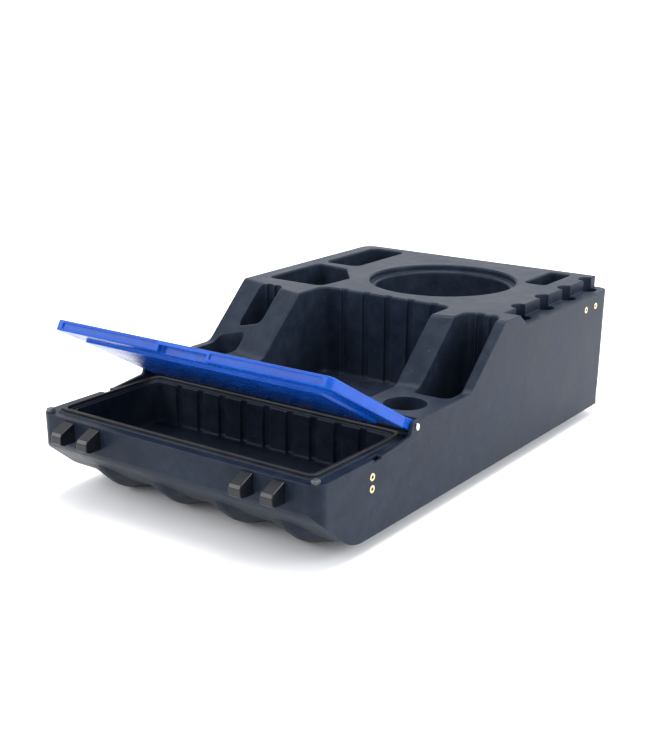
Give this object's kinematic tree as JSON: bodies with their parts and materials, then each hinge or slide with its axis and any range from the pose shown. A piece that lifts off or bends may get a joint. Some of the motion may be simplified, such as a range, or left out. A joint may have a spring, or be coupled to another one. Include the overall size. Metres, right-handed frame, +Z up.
{
  "type": "wash station tub",
  "caption": "Twin-wall moulded wash station tub with a hinged bin lid, an open trough, a round pail well, a cup hole, tool pockets and threaded side inserts.",
  "frame": {"origin": "centre of the bounding box on the floor, lid half open as stored", "axes": "+Y to the rear along the tub's length, the bin and lid towards -Y, +X to the right of a person facing the bin, +Z up"},
  "size_m": [0.6034, 1.0416, 0.31],
  "materials": {
    "body": "satin moulded polyethylene",
    "lid": "glossy blue",
    "gasket": "extruded rubber",
    "bumper": "smooth shiny rubber",
    "lug": "smooth moulded",
    "steel": "plated",
    "brass": "turned",
    "nylon": "natural nylon",
    "plug": "moulded",
    "lid_plug": "moulded"
  },
  "bodies": {
    "tub": {"body_shell": "body", "rim_gasket": "gasket", "corner_bumper_left": "bumper", "corner_bumper_right": "bumper", "hinge_pin_left": "steel", "hinge_pin_right": "steel", "hinge_washer_left": "steel", "hinge_washer_right": "steel", "hinge_clip_left": "steel", "hinge_clip_right": "steel", "front_lug_left_outer": "lug", "front_lug_left_inner": "lug", "front_lug_right_inner": "lug", "front_lug_right_outer": "lug", "front_inserts_left": "brass", "front_inserts_right": "brass", "rear_inserts_left": "brass", "rear_inserts_right": "brass", "body_vent_plug": "plug"},
    "lid": {"lid_shell": "lid", "hinge_bush_left": "nylon", "hinge_bush_right": "nylon", "lid_vent_plug": "lid_plug"}
  },
  "joints": [
    {"name": "lid_hinge", "type": "hinge", "parent": "tub", "child": "lid", "pos_m": [0, -0.22082, 0.174], "axis": [1, 0, 0], "range_deg": [-75, 29.9]}
  ]
}
